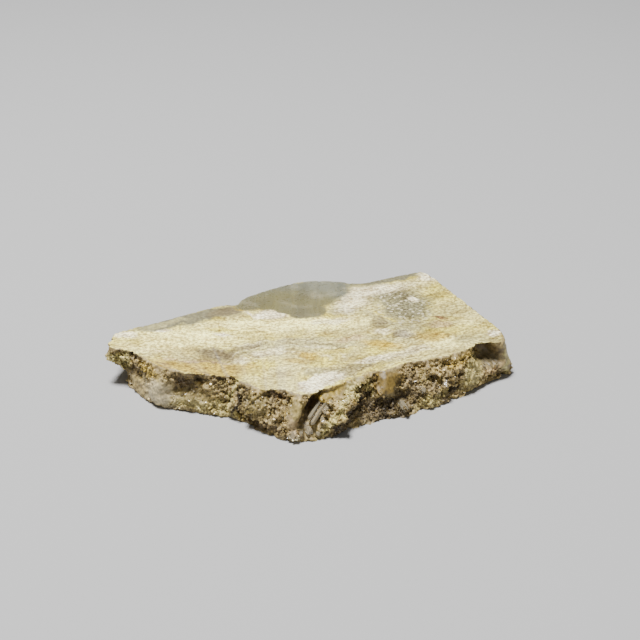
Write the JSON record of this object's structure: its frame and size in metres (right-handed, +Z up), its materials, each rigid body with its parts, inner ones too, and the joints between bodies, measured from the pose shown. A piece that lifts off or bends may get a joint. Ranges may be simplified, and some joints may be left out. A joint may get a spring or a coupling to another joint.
{
  "type": "hokkaidoite slice",
  "caption": "Loose slab of banded mineral, sawn flat on two faces, with a broken, pitted wall and small quartz crystals at its front corner.",
  "frame": {"origin": "on the bottom sawn face's plane, under the middle of the slab's bounding box", "axes": "+X along the slab's long side, +Z up out of the top sawn face, the broken front wall faces -Y"},
  "size_m": [0.065, 0.0474, 0.0065],
  "materials": {
    "banded_stone": "sawn and lightly polished faces banded cream, white, grey and amber, with a rough tan and brown broken wall"
  },
  "bodies": {
    "root": {"hokkaidoite_slice": "banded_stone"}
  },
  "joints": []
}
